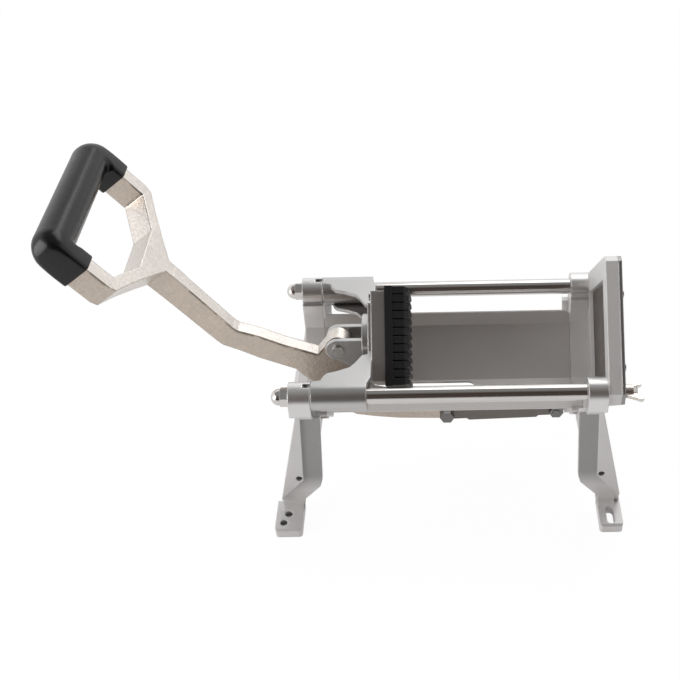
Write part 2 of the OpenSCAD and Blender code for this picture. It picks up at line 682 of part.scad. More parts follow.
// Cast lever: D handle, bent stem, pivot boss and lower arm
module lever_arm() color("tan") difference() {
    union() {
        along_y(-lever_t / 2, lever_t) lever_outline();
        bar_y(2 * lever_boss_r, -lever_t / 2 - boss_proud, lever_t + 2 * boss_proud, pivot);
        on_handle() {
            intersection() {
                both_sides() translate([0, 0, -arm_t / 2]) linear_extrude(arm_t) handle_outline();
                translate([-stem_w, -2 * handle_half, -arm_t])
                    cube([stem_w + coat_u, 4 * handle_half, 2 * arm_t]);
            }
            grip_core();
        }
    }
    bar_y(pin_d + 2 * run_fit, -lever_t, 2 * lever_t, pivot);
    bar_y(bush_wall + bush_wall + link_bolt_d, -lever_t, 2 * lever_t, eye);
}
bush_wall = 1.5;

module lever_bush() color("peru") difference() {
    bar_y(link_bolt_d + 2 * bush_wall, -lever_t / 2, lever_t, eye);
    bar_y(link_bolt_d, -lever_t, 2 * lever_t, eye);
}

// Section of the coating around an arm
module coat_section() {
    width = arm_w + 2 * coat_t;
    depth = arm_t + 2 * coat_t;
    translate([coat_half - width / 2, 0]) {
        square([width - 2 * coat_edge_r, depth], center = true);
        square([width, depth - 2 * coat_edge_r], center = true);
        for (a = [-1, 1], b = [-1, 1])
            translate([a * (width / 2 - coat_edge_r), b * (depth / 2 - coat_edge_r)]) circle(coat_edge_r);
    }
}

// Coating of one arm with its rounded outer corner
module coat_arm() intersection() {
    translate([0, 0, -grip_d]) linear_extrude(2 * grip_d) {
        translate([coat_u, 0]) square([grip_reach - coat_u, coat_half]);
        translate([grip_reach, coat_half - corner_r]) circle(corner_r);
    }
    along_x(coat_u - over, grip_reach - coat_u + grip_d) coat_section();
    along_y(0, 2 * coat_half) {
        translate([coat_u, -corner_r]) square([grip_reach - coat_u, 2 * corner_r]);
        translate([grip_reach, 0]) circle(corner_r);
    }
}

// Vinyl coating of the grip and of the arms' ends
module handle_grip() color("dimgray") on_handle() difference() {
    union() {
        translate([grip_reach, -coat_half + grip_d / 2, 0]) rotate([-90, 0, 0])
            cylinder(d = grip_d, h = 2 * coat_half - grip_d);
        both_sides() {
            translate([grip_reach, coat_half - grip_d / 2, 0]) sphere(d = grip_d);
            coat_arm();
        }
    }
    grip_core();
}

// One link bar beside the lever; side is -1 at the front and 1 at the back
module link_bar(side) color("dimgray") difference() {
    along_y(side > 0 ? link_y0 : -link_y1, link_t)
        translate(eye) rotate(atan2(anchor[1] - eye[1], anchor[0] - eye[0])) {
            reach = norm(anchor - eye);
            circle(d = link_w);
            translate([reach, 0]) circle(d = link_w);
            translate([0, -link_w / 2]) square([reach, link_w]);
            polygon([[reach * step_from_share - link_step, -link_w / 2],
                [reach * step_from_share, -link_w / 2 - link_step],
                [reach * step_to_share, -link_w / 2 - link_step],
                [reach * step_to_share + link_step, -link_w / 2],
                [reach * step_to_share, 0], [reach * step_from_share, 0]]);
        }
    bar_y(link_bolt_d + 2 * run_fit, -link_y1 - over, 2 * (link_y1 + over), anchor);
    bar_y(link_bolt_d, -link_y1 - over, 2 * (link_y1 + over), eye);
}
// Shares of the link's length where its wider middle begins and ends
step_from_share = 0.2;
step_to_share = 0.82;
module link_bar_front() link_bar(-1);
module link_bar_back() link_bar(1);

// Shoulder bolts that join each link bar to the lever's eye
module link_bolts() color("gainsboro") both_sides() {
    bar_y(link_bolt_d, link_y0, link_t, eye);
    translate([eye[0], link_y1, eye[1]]) rotate([-90, 0, 0]) {
        cylinder(d = hex_af + 2 * screw_play, h = washer_t);
        translate([0, 0, washer_t]) cylinder(d = hex_af / cos(30), h = hex_h, $fn = 6);
    }
}
washer_t = 1.4;

// Bolt that holds the links to the lug of the front frame
module anchor_bolt() color("gainsboro") {
    bar_y(link_bolt_d, -link_y1 - side_gap - hex_h - screw_play,
        2 * (link_y1 + side_gap) + hex_h + screw_play, anchor);
    translate([anchor[0], link_y1 + side_gap, anchor[1]]) rotate([-90, 0, 0])
        cylinder(d = hex_af / cos(30), h = hex_h, $fn = 6);
}

module anchor_nut() color("gainsboro")
    translate([anchor[0], -link_y1 - side_gap, anchor[1]]) rotate([90, 0, 0]) difference() {
        cylinder(d = hex_af / cos(30), h = hex_h, $fn = 6);
        translate([0, 0, -over]) cylinder(d = link_bolt_d, h = hex_h + 2 * over);
    }

// Outer outline of the blade holder: a square on its corner with all corners cut
module holder_outline() intersection() {
    translate([0, rod_h]) diamond(holder_half * sqrt(2));
    translate([-holder_half + side_cut, rod_h - holder_half + top_cut])
        square([2 * (holder_half - side_cut), 2 * (holder_half - top_cut)]);
}

// Square frame that carries the two blade sets, clamped to the front frame by the wing nuts
module blade_holder() color("silver") difference() {
    along_x(holder_x0, holder_t) difference() {
        holder_outline();
        translate([0, rod_h]) diamond(mouth_side);
    }
    both_sides() bar_x(thread_d + screw_play, holder_x0 - over, holder_t + 2 * over, rod_y, rod_h);
    blade_seats(blade_x0, 0);
    blade_seats(blade_x1, 90);
    retainer_screw_places() translate([0, 0, -2 * screw_d]) cylinder(d = screw_d, h = 2 * screw_d + over);
}

// Seats of one blade set, open towards the retainer
module blade_seats(x, turn) translate([x, 0, rod_h]) rotate([0, 90, 0]) rotate(45 + turn)
    for (i = [1 : cells - 1])
        translate([i * pitch - block_side / 2 - blade_t / 2, -mouth_side / 2 - blade_seat, 0])
            cube([blade_t, mouth_side + 2 * blade_seat, holder_t]);

// One set of parallel blades
module blade_set(x, turn) color("gainsboro") translate([x, 0, rod_h]) rotate([0, 90, 0]) rotate(45 + turn)
    for (i = [1 : cells - 1])
        translate([i * pitch - block_side / 2 - blade_t / 2, -mouth_side / 2 - blade_seat, 0])
            cube([blade_t, mouth_side + 2 * blade_seat, blade_w]);
module blades_rear() blade_set(blade_x0, 0);
module blades_front() blade_set(blade_x1, 90);

// Ring that closes the blade seats
module blade_retainer() color("silver") difference() {
    along_x(holder_x1, retainer_t) difference() {
        holder_outline();
        translate([0, rod_h]) diamond(mouth_side);
    }
    both_sides() bar_x(thread_d + screw_play, holder_x1 - over, retainer_t + 2 * over, rod_y, rod_h);
    retainer_screw_places() translate([0, 0, -over])
        cylinder(d = screw_d + screw_play, h = retainer_t + 2 * over);
}

// Places of the retainer's screws on the four sides, from the front face of the holder
module retainer_screw_places() translate([holder_x1, 0, rod_h]) rotate([0, 90, 0])
    for (quarter = [0 : 3], side = [-1, 1]) rotate(45 + 90 * quarter)
        translate([mouth_side / 2 + (holder_half * sqrt(2) - mouth_side) / 4,
            side * pitch * cells * screw_spread_share, 0]) children();
// Share of the block's side at which the retainer's screws lie from the middle
screw_spread_share = 0.36;

module retainer_screws() color("gainsboro") retainer_screw_places() {
    translate([0, 0, -2 * screw_d + run_fit]) cylinder(d = screw_d, h = 2 * screw_d + retainer_t);
    translate([0, 0, retainer_t]) cylinder(d = 2 * screw_d, h = screw_d / 2);
}

// Wing nut on a rod end
module wing_nut(y) color("gainsboro") translate([retainer_x1 + side_gap, y, rod_h]) rotate([0, 90, 0])
    difference() {
        union() {
            cylinder(d1 = wing_hub_d, d2 = wing_hub_d * hub_taper_share, h = wing_hub_h);
            for (side = [0, 1]) mirror([0, side, 0]) rotate([90, 0, 90]) translate([0, 0, -wing_t / 2])
                linear_extrude(wing_t) {
                    polygon([[0, 0], [wing_hub_d / 2, 0],
                        [wing_span / 2 - wing_r / 4, wing_tip_h - wing_r / 2],
                        [wing_span / 2 - 2 * wing_r + wing_r / 4, wing_tip_h], [0, wing_hub_h / 2]]);
                    translate([wing_span / 2 - wing_r, wing_tip_h]) circle(wing_r);
                }
        }
        translate([0, 0, -over]) cylinder(d = thread_d + 2 * run_fit, h = wing_tip_h + 2 * wing_r);
    }
wing_t = 3.5;
wing_r = 3.4;
// Height of the middle of a wing's round tip
wing_tip_h = 14;
// Share of the hub's diameter at its upper end
hub_taper_share = 0.94;
module wing_nut_front() wing_nut(-rod_y);
module wing_nut_back() wing_nut(rod_y);

rear_frame();
front_frame();
v_tray();
tray_screws();
guide_rod_front();
guide_rod_back();
acorn_nuts();
set_screws();
slide_head();
head_bushes();
push_block();
push_screws();
pivot_pin();
pivot_clip();
lever_arm();
lever_bush();
handle_grip();
link_bar_front();
link_bar_back();
link_bolts();
anchor_bolt();
anchor_nut();
blade_holder();
blade_retainer();
blades_rear();
blades_front();
retainer_screws();
wing_nut_front();
wing_nut_back();
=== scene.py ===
"""Looks of the potato stick cutter: finishes for every CAD piece, a smooth grip, stage and camera."""

import math

import bmesh
import bpy
from mathutils import Matrix, Vector


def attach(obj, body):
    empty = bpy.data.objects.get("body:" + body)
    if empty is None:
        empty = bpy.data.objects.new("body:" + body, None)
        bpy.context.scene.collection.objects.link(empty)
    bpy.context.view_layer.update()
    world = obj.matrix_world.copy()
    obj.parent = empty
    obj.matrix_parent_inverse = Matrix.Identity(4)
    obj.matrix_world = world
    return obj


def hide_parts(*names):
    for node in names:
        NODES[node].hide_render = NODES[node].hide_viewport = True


bl_info = {
    "name": "Potato stick cutter",
    "version": (1, 0, 0),
    "blender": (4, 5, 0),
    "location": "View3D > Sidebar > Cutter",
    "description": "Dresses the cutter's CAD pieces and adds its smooth grip, stage and camera",
    "category": "Object",
}

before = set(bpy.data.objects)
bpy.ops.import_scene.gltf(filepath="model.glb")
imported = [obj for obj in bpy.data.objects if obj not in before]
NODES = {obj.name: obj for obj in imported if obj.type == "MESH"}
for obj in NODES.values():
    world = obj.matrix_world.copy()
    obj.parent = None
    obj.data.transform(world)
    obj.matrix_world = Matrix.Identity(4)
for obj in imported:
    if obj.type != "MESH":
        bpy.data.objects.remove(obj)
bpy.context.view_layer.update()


# Settings that a user would change


class CutterFinishes(bpy.types.PropertyGroup):
    casting: bpy.props.FloatVectorProperty(
        name="Casting",
        description="Colour of the satin aluminium castings",
        subtype="COLOR",
        size=4,
        min=0,
        max=1,
        default=(0.60, 0.595, 0.59, 1),
    )
    raw_casting: bpy.props.FloatVectorProperty(
        name="Raw casting",
        description="Colour of the blasted skin of the frames and the blade holder",
        subtype="COLOR",
        size=4,
        min=0,
        max=1,
        default=(0.80, 0.79, 0.785, 1),
    )
    sheet: bpy.props.FloatVectorProperty(
        name="Sheet",
        description="Colour of the blasted tray sheet and its screws",
        subtype="COLOR",
        size=4,
        min=0,
        max=1,
        default=(0.68, 0.66, 0.645, 1),
    )
    polished: bpy.props.FloatVectorProperty(
        name="Polished steel",
        description="Colour of the rods, the domed nuts and the blades",
        subtype="COLOR",
        size=4,
        min=0,
        max=1,
        default=(0.72, 0.695, 0.675, 1),
    )
    zinc: bpy.props.FloatVectorProperty(
        name="Plated steel",
        description="Colour of the small screws, pins and bolts",
        subtype="COLOR",
        size=4,
        min=0,
        max=1,
        default=(0.62, 0.61, 0.60, 1),
    )
    nickel: bpy.props.FloatVectorProperty(
        name="Nickel",
        description="Colour of the nickel-plated lever and wing nuts",
        subtype="COLOR",
        size=4,
        min=0,
        max=1,
        default=(0.80, 0.745, 0.695, 1),
    )
    dark_steel: bpy.props.FloatVectorProperty(
        name="Dark steel",
        description="Colour of the link bars and the small dark screws",
        subtype="COLOR",
        size=4,
        min=0,
        max=1,
        default=(0.21, 0.19, 0.175, 1),
    )
    vinyl: bpy.props.FloatVectorProperty(
        name="Vinyl",
        description="Colour of the coated grip",
        subtype="COLOR",
        size=4,
        min=0,
        max=1,
        default=(0.006, 0.006, 0.0065, 1),
    )
    moulding: bpy.props.FloatVectorProperty(
        name="Moulding",
        description="Colour of the moulded push block",
        subtype="COLOR",
        size=4,
        min=0,
        max=1,
        default=(0.016, 0.016, 0.017, 1),
    )
    bronze: bpy.props.FloatVectorProperty(
        name="Bronze",
        description="Colour of the bearing bushes",
        subtype="COLOR",
        size=4,
        min=0,
        max=1,
        default=(0.42, 0.27, 0.13, 1),
    )
    grain_size: bpy.props.FloatProperty(
        name="Grain size",
        description="Size of the grain of the castings",
        unit="LENGTH",
        min=0.0002,
        max=0.005,
        default=0.0008,
    )
    # Brightness of the painted shade on the recessed leg bars
    recess_shade: bpy.props.FloatProperty(
        name="Recess tone",
        description="Brightness of the recessed leg bars beside the raised webs",
        min=0.1,
        max=1,
        default=0.52,
    )
    edge_radius: bpy.props.FloatProperty(
        name="Edge radius",
        description="Roundness that the castings' edges show",
        unit="LENGTH",
        min=0,
        max=0.003,
        default=0.0016,
    )
    # Painted shade on the lever's upright sides: the share of the nickel's colour that they keep
    side_shade: bpy.props.FloatVectorProperty(
        name="Side tone",
        description="Share of the nickel's colour that the lever's rough upright sides keep",
        subtype="COLOR",
        size=4,
        min=0,
        max=1,
        default=(0.76, 0.71, 0.66, 1),
    )


class CutterStage(bpy.types.PropertyGroup):
    eye: bpy.props.FloatVectorProperty(
        name="Camera place",
        description="Where the camera stands",
        subtype="XYZ",
        unit="LENGTH",
        default=(0.1583, -0.8176, 0.8571),
    )
    lens: bpy.props.FloatProperty(
        name="Focal length",
        description="Focal length in millimetres",
        min=20,
        max=200,
        default=57.58,
    )
    floor_half: bpy.props.FloatProperty(
        name="Floor half size",
        description="Half the side of the floor",
        unit="LENGTH",
        min=1,
        max=20,
        default=6,
    )
    key_power: bpy.props.FloatProperty(
        name="Key light",
        description="Power of the large soft lamp above",
        unit="POWER",
        min=0,
        max=500,
        default=6,
    )
    fill_power: bpy.props.FloatProperty(
        name="Fill light",
        description="Power of the soft lamp at the side",
        unit="POWER",
        min=0,
        max=500,
        default=8,
    )
    room_light: bpy.props.FloatProperty(
        name="Room light",
        description="Brightness of the white room around the machine",
        min=0,
        max=3,
        default=1.0,
    )
    top_light: bpy.props.FloatProperty(
        name="Ceiling share",
        description="Share of the room's brightness that the ceiling has",
        min=0,
        max=1,
        default=0.26,
    )
    front_light: bpy.props.FloatProperty(
        name="Front share",
        description="Share of the room's brightness on the camera's side",
        min=0,
        max=1,
        default=0.075,
    )
    front_tint: bpy.props.FloatVectorProperty(
        name="Front tint",
        description="Warm tone of the dim room on the camera's side",
        subtype="COLOR",
        size=4,
        min=0,
        max=1,
        default=(1.0, 0.8, 0.7, 1),
    )
    floor_white: bpy.props.FloatProperty(
        name="Floor whiteness",
        description="How far the floor is lifted to white where it is seen",
        subtype="FACTOR",
        min=0,
        max=1,
        default=0.9,
    )
    table_reach: bpy.props.FloatProperty(
        name="Table reach",
        description="How far the white table reaches towards the camera in reflections",
        unit="LENGTH",
        min=0.2,
        max=5,
        default=0.7,
    )
    floor_mirror: bpy.props.FloatProperty(
        name="Floor in reflections",
        description="How far the floor is lifted to white in reflections",
        subtype="FACTOR",
        min=0,
        max=1,
        default=0.42,
    )


# Shader groups


# Middle of the noise
MIDDLE = 0.5
# Grain of a casting: its broad clouds, the fine grain's share in the two, and its sway of the colour
BROAD_SCALE = 22.0
FINE_SHARE = 0.6
COLOUR_SWAY = 2.0
# Brushed lines: their scales along X, Y and Z, and their height
LINE_STRETCH = (8, 900, 900)
LINE_HEIGHT = 0.00001
# Height of the rods' thread
THREAD_HEIGHT = 0.0012
# Cosines between the plain and the rounded normal where the edge mask is none and full
EDGE_TURN = (1.0, 0.8)
# Frames: how far off the legs' bars the recess and its painted shade end, and the heights where the zones
# fade
BAR_PLANE = (0.0002, 0.0005)
BAR_FOOT = (0.034, 0.054)
BAR_TOP = (0.1362, 0.1365)
CLAMP_FOOT = (0.137, 0.142)
# Castings: how much brighter the painted highlight makes the edges, and the least share of it that they
# show
EDGE_GLEAM = 1.35
EDGE_SHARE = 0.6
# Painted shade in deep holes and tight corners: how far off walls count, how open a place is where the
# shade starts and ends, the shade's tone
HOLE_REACH = 0.009
HOLE_OPEN = (0.55, 0.2)
HOLE_SHADE_TONE = (0.08, 0.075, 0.07, 1)
# Filled by the first operator
GROUPS = {}


def new_group(name, inputs, outputs):
    """A shader group with its sockets, its start and its end."""
    group = bpy.data.node_groups.new(name, "ShaderNodeTree")
    for label, kind, value in inputs:
        socket = group.interface.new_socket(label, in_out="INPUT", socket_type=kind)
        socket.default_value = value
    for label, kind in outputs:
        group.interface.new_socket(label, in_out="OUTPUT", socket_type=kind)
    start = group.nodes.new("NodeGroupInput")
    end = group.nodes.new("NodeGroupOutput")
    return group, start, end


def add(tree, kind, **values):
    """Adds a node and sets its own values."""
    node = tree.nodes.new(kind)
    for key, value in values.items():
        setattr(node, key, value)
    return node


def feed(tree, value, socket):
    """Links another socket to this one, or sets it to a plain value."""
    if hasattr(value, "is_linked"):
        tree.links.new(value, socket)
    else:
        socket.default_value = value


def ramp(tree, source, low, high, out_low=0.0, out_high=1.0):
    """Maps a value from low..high to out_low..out_high."""
    node = add(tree, "ShaderNodeMapRange")
    tree.links.new(source, node.inputs["Value"])
    node.inputs["From Min"].default_value = low
    node.inputs["From Max"].default_value = high
    node.inputs["To Min"].default_value = out_low
    node.inputs["To Max"].default_value = out_high
    return node.outputs["Result"]


def noise(tree, where, scale, detail, rough):
    """Cloudy noise from 0 to 1."""
    node = add(tree, "ShaderNodeTexNoise")
    tree.links.new(where, node.inputs["Vector"])
    feed(tree, scale, node.inputs["Scale"])
    node.inputs["Detail"].default_value = detail
    node.inputs["Roughness"].default_value = rough
    return node.outputs["Fac"]


def math_node(tree, operation, a, b=0.0):
    """Result of one operation on two values or sockets."""
    node = add(tree, "ShaderNodeMath", operation=operation)
    feed(tree, a, node.inputs[0])
    feed(tree, b, node.inputs[1])
    return node.outputs[0]


def split(tree, source):
    """The X, Y and Z outputs of a vector."""
    parts = add(tree, "ShaderNodeSeparateXYZ")
    tree.links.new(source, parts.inputs[0])
    return parts.outputs


def object_place(tree):
    """Coordinates of the piece's own object."""
    return add(tree, "ShaderNodeTexCoord").outputs["Object"]


def cast_grain_group():
    """Grain of a casting: a colour that varies a little, a roughness and a height."""
    group, start, end = new_group(
        "Cast grain",
        [
            ("Colour", "NodeSocketColor", (0.6, 0.6, 0.6, 1)),
            ("Scale", "NodeSocketFloat", 900.0),
            ("Contrast", "NodeSocketFloat", 0.12),
            ("Roughness", "NodeSocketFloat", 0.42),
        ],
        [
            ("Colour", "NodeSocketColor"),
            ("Roughness", "NodeSocketFloat"),
            ("Height", "NodeSocketFloat"),
        ],
    )
    where = object_place(group)
    fine = noise(group, where, start.outputs["Scale"], detail=4.0, rough=0.6)
    broad = noise(group, where, BROAD_SCALE, detail=3.0, rough=0.5)
    fine = math_node(group, "MULTIPLY", fine, FINE_SHARE)
    broad = math_node(group, "MULTIPLY", broad, 1 - FINE_SHARE)
    both = math_node(group, "ADD", fine, broad)
    off = math_node(group, "SUBTRACT", both, MIDDLE)
    swing = math_node(group, "MULTIPLY", off, start.outputs["Contrast"])
    tone = math_node(group, "ADD", math_node(group, "MULTIPLY", swing, COLOUR_SWAY), 1.0)
    value = add(group, "ShaderNodeHueSaturation")
    group.links.new(start.outputs["Colour"], value.inputs["Color"])
    group.links.new(tone, value.inputs["Value"])
    group.links.new(value.outputs["Color"], end.inputs["Colour"])
    rough = math_node(group, "ADD", start.outputs["Roughness"], swing)
    group.links.new(rough, end.inputs["Roughness"])
    group.links.new(both, end.inputs["Height"])
    return group


def soft_edge_group():
    """Normals rounded over sharp edges, and a mask that is 1 along them."""
    group, start, end = new_group(
        "Soft edge",
        [("Radius", "NodeSocketFloat", 0.001)],
        [("Normal", "NodeSocketVector"), ("Edge", "NodeSocketFloat")],
    )
    bevel = add(group, "ShaderNodeBevel", samples=6)
    group.links.new(start.outputs["Radius"], bevel.inputs["Radius"])
    plain = add(group, "ShaderNodeNewGeometry").outputs["Normal"]
    dot = add(group, "ShaderNodeVectorMath", operation="DOT_PRODUCT")
    group.links.new(bevel.outputs["Normal"], dot.inputs[0])
    group.links.new(plain, dot.inputs[1])
    group.links.new(bevel.outputs["Normal"], end.inputs["Normal"])
    group.links.new(ramp(group, dot.outputs["Value"], *EDGE_TURN), end.inputs["Edge"])
    return group


def brushed_group():
    """Fine lines along X: roughness and height."""
    group, start, end = new_group(
        "Brushed lines",
        [("Roughness", "NodeSocketFloat", 0.3), ("Depth", "NodeSocketFloat", 0.1)],
        [("Roughness", "NodeSocketFloat"), ("Height", "NodeSocketFloat")],
    )
    stretch = add(group, "ShaderNodeMapping")
    stretch.inputs["Scale"].default_value = LINE_STRETCH
    group.links.new(object_place(group), stretch.inputs["Vector"])
    lines = noise(group, stretch.outputs["Vector"], 1.0, detail=2.0, rough=0.6)
    off = math_node(group, "SUBTRACT", lines, MIDDLE)
    swing = math_node(group, "MULTIPLY", off, start.outputs["Depth"])
    rough = math_node(group, "ADD", start.outputs["Roughness"], swing)
    group.links.new(rough, end.inputs["Roughness"])
    group.links.new(lines, end.inputs["Height"])
    return group


def leg_zones_group():
    """Masks of the cast frames: the recessed leg bars that get painted shade, and the machined clamps above
    the legs.
    """
    group, start, end = new_group(
        "Leg zones",
        [("Depth", "NodeSocketFloat", 0.0874)],
        [("Recess", "NodeSocketFloat"), ("Clamp", "NodeSocketFloat")],
    )
    parts = split(group, object_place(group))
    across = math_node(group, "ABSOLUTE", parts["Y"])
    off = math_node(group, "ABSOLUTE", math_node(group, "SUBTRACT", across, start.outputs["Depth"]))
    flat = ramp(group, off, *BAR_PLANE, 1.0, 0.0)
    above_foot = ramp(group, parts["Z"], *BAR_FOOT)
    below_top = ramp(group, parts["Z"], *BAR_TOP, 1.0, 0.0)
    upright = math_node(group, "MULTIPLY", above_foot, below_top)
    group.links.new(math_node(group, "MULTIPLY", flat, upright), end.inputs["Recess"])
    group.links.new(ramp(group, parts["Z"], *CLAMP_FOOT), end.inputs["Clamp"])
    return group


def upright_sides_group():
    """Mask of the faces that look along Y, which a lever that turns about Y keeps at every angle."""
    group, start, end = new_group(
        "Upright sides",
        [("From", "NodeSocketFloat", 0.55), ("To", "NodeSocketFloat", 0.9)],
        [("Side", "NodeSocketFloat")],
    )
    parts = split(group, add(group, "ShaderNodeNewGeometry").outputs["True Normal"])
    across = math_node(group, "ABSOLUTE", parts["Y"])
    part = math_node(group, "SUBTRACT", across, start.outputs["From"])
    span = math_node(group, "SUBTRACT", start.outputs["To"], start.outputs["From"])
    share = add(group, "ShaderNodeClamp")
    group.links.new(math_node(group, "DIVIDE", part, span), share.inputs["Value"])
    group.links.new(share.outputs[0], end.inputs["Side"])
    return group


def thread_group():
    """Ridges of a screw thread on the rods' ends."""
    group, start, end = new_group(
        "Screw thread",
        [
            ("Rear end", "NodeSocketFloat", 0.0136),
            ("Front end", "NodeSocketFloat", 0.3112),
            ("Pitch", "NodeSocketFloat", 0.0015),
        ],
        [("Height", "NodeSocketFloat")],
    )
    along = split(group, object_place(group))["X"]
    half_pitch = math_node(group, "MULTIPLY", start.outputs["Pitch"], 0.5)
    ridge = math_node(group, "PINGPONG", along, half_pitch)
    height = math_node(group, "DIVIDE", ridge, start.outputs["Pitch"])
    rear = math_node(group, "LESS_THAN", along, start.outputs["Rear end"])
    front = math_node(group, "GREATER_THAN", along, start.outputs["Front end"])
    ends = math_node(group, "MAXIMUM", rear, front)
    group.links.new(math_node(group, "MULTIPLY", height, ends), end.inputs["Height"])
    return group


def place_group(tree, name, **values):
    """Places a shared group in a material, with its own values."""
    node = add(tree, "ShaderNodeGroup", node_tree=GROUPS[name])
    for label, value in values.items():
        node.inputs[label].default_value = value
    return node


def new_material(name, metallic, roughness=0.5):
    """A material with its tree and its shader."""
    material = bpy.data.materials.new(name)
    material.use_nodes = True
    shader = material.node_tree.nodes["Principled BSDF"]
    shader.inputs["Metallic"].default_value = metallic
    shader.inputs["Roughness"].default_value = roughness
    return material, material.node_tree, shader


def bump(tree, shader, height, distance, normal):
    """Raises a height over the given normals, and feeds the shader with it."""
    node = add(tree, "ShaderNodeBump")
    node.inputs["Distance"].default_value = distance
    tree.links.new(height, node.inputs["Height"])
    tree.links.new(normal, node.inputs["Normal"])
    tree.links.new(node.outputs["Normal"], shader.inputs["Normal"])


def tinted(tree, colour, tone, share):
    """A colour socket, multiplied by a tone where the mask share is 1."""
    node = add(tree, "ShaderNodeMix", data_type="RGBA", blend_type="MULTIPLY")
    node.inputs["B"].default_value = tone
    tree.links.new(share, node.inputs["Factor"])
    tree.links.new(colour, node.inputs["A"])
    return node.outputs["Result"]


def toned(colour, share):
    """A colour made darker or brighter, and kept within white."""
    return tuple(min(1, share * part) for part in colour[:3]) + (1,)


def cast_material(name, colour, metallic, roughness, scale, contrast, depth, radius, polish=0.1, glint=0.0):
    """A casting: grain in colour and height, and softened edges that are smoother and carry a painted
    highlight, with painted shade in deep holes and tight corners.
    """
    material, tree, shader = new_material(name, metallic)
    grain = place_group(
        tree, "Cast grain", Colour=colour, Scale=scale, Contrast=contrast, Roughness=roughness
    )
    edge = place_group(tree, "Soft edge", Radius=radius)
    # Painted highlight: the colour is brightened along the edges
    gleam = math_node(tree, "MULTIPLY", edge.outputs["Edge"], EDGE_SHARE + (1 - EDGE_SHARE) * glint)
    bright = add(tree, "ShaderNodeMix", data_type="RGBA")
    bright.inputs["B"].default_value = toned(colour, EDGE_GLEAM)
    tree.links.new(gleam, bright.inputs["Factor"])
    tree.links.new(grain.outputs["Colour"], bright.inputs["A"])
    # Less metal along the edges, so that their painted highlight shows
    if glint > 0:
        dull = math_node(tree, "MULTIPLY", edge.outputs["Edge"], glint)
        tree.links.new(math_node(tree, "SUBTRACT", metallic, dull), shader.inputs["Metallic"])
    # Painted shade: the colour is darkened in deep holes and tight corners
    around = add(tree, "ShaderNodeAmbientOcclusion", samples=8, only_local=True)
    around.inputs["Distance"].default_value = HOLE_REACH
    deep = ramp(tree, around.outputs["AO"], *HOLE_OPEN)
    tone = tinted(tree, bright.outputs["Result"], HOLE_SHADE_TONE, deep)
    tree.links.new(tone, shader.inputs["Base Color"])
    smooth = math_node(tree, "MULTIPLY", edge.outputs["Edge"], polish)
    rough = math_node(tree, "SUBTRACT", grain.outputs["Roughness"], smooth)
    tree.links.new(rough, shader.inputs["Roughness"])
    bump(tree, shader, grain.outputs["Height"], depth, edge.outputs["Normal"])
    return material


def bright_material(name, colour, roughness, depth, radius):
    """Plain bright metal with faint drawing lines."""
    material, tree, shader = new_material(name, 1.0)
    shader.inputs["Base Color"].default_value = colour
    lines = place_group(tree, "Brushed lines", Roughness=roughness, Depth=depth)
    edge = place_group(tree, "Soft edge", Radius=radius)
    tree.links.new(lines.outputs["Roughness"], shader.inputs["Roughness"])
    bump(tree, shader, lines.outputs["Height"], LINE_HEIGHT, edge.outputs["Normal"])
    return material


def plastic_material(name, colour, roughness, scale, depth, radius, coat=0.0):
    """Moulded or dipped plastic with a fine grain, and a thin coat where one is asked for."""
    material, tree, shader = new_material(name, 0.0)
    grain = place_group(tree, "Cast grain", Colour=colour, Scale=scale, Contrast=0.2, Roughness=roughness)
    edge = place_group(tree, "Soft edge", Radius=radius)
    tree.links.new(grain.outputs["Colour"], shader.inputs["Base Color"])
    tree.links.new(grain.outputs["Roughness"], shader.inputs["Roughness"])
    shader.inputs["Coat Weight"].default_value = coat
    shader.inputs["Coat Roughness"].default_value = 0.12
    bump(tree, shader, grain.outputs["Height"], depth, edge.outputs["Normal"])
    return material


def dress(material, *nodes):
    """Gives CAD nodes their finish."""
    for name in nodes:
        slots = NODES[name].data.materials
        slots.clear()
        slots.append(material)


# Shape of the smooth grip


# The D handle's place and slope, then its grip and the coating on it, in metres and degrees
HANDLE_ORIGIN = (-0.1026, 0.237)
HANDLE_TILT = 52.4
HANDLE_TURN = math.radians(HANDLE_TILT - 180)
GRIP_AXIS = 0.111
GRIP_R = 0.017
COAT_HALF = 0.083
COAT_W = 0.0205
COAT_D = 0.032
COAT_R = 0.004
COAT_FILLET = 0.002
COAT_STEPS = 18
# Rings at the coating's end on an arm: place along the handle, inset, and loss of the corners' radius
COAT_END = (
    (0.081, 0.0034, 0.003),
    (0.081, 0.0012, 0.001),
    (0.0812, 0.0006, 0.0005),
    (0.0817, 0.0002, 0.0002),
    (0.0825, 0.0, 0.0),
    (0.086, 0.0, 0.0),
)
# Below this a share of a direction is none, and two points are one
TINY = 1e-6


def on_handle(point):
    """From the handle's plane (along, across, depth) to the frame."""
    u, v, w = point
    cosine = math.cos(HANDLE_TURN)
    sine = math.sin(HANDLE_TURN)
    return (HANDLE_ORIGIN[0] + u * cosine + w * sine, v, HANDLE_ORIGIN[1] - u * sine + w * cosine)


def smooth_step(t):
    """Rises from 0 to 1 with level ends."""
    return t * t * (3 - 2 * t)


def coat_reach(u, v, way):
    """Distance from a point inside the corner to the coating's outer outline."""
    side, across = way
    limit = GRIP_AXIS + GRIP_R - u
    top = COAT_HALF - v
    if side < TINY or top / max(across, TINY) * side <= GRIP_AXIS - u:
        return top / across
    if across < TINY or limit / side * across <= COAT_HALF - GRIP_R - v:
        return limit / side
    du = u - GRIP_AXIS
    dv = v - (COAT_HALF - GRIP_R)
    along = side * du + across * dv
    return -along + math.sqrt(along * along - du * du - dv * dv + GRIP_R * GRIP_R)


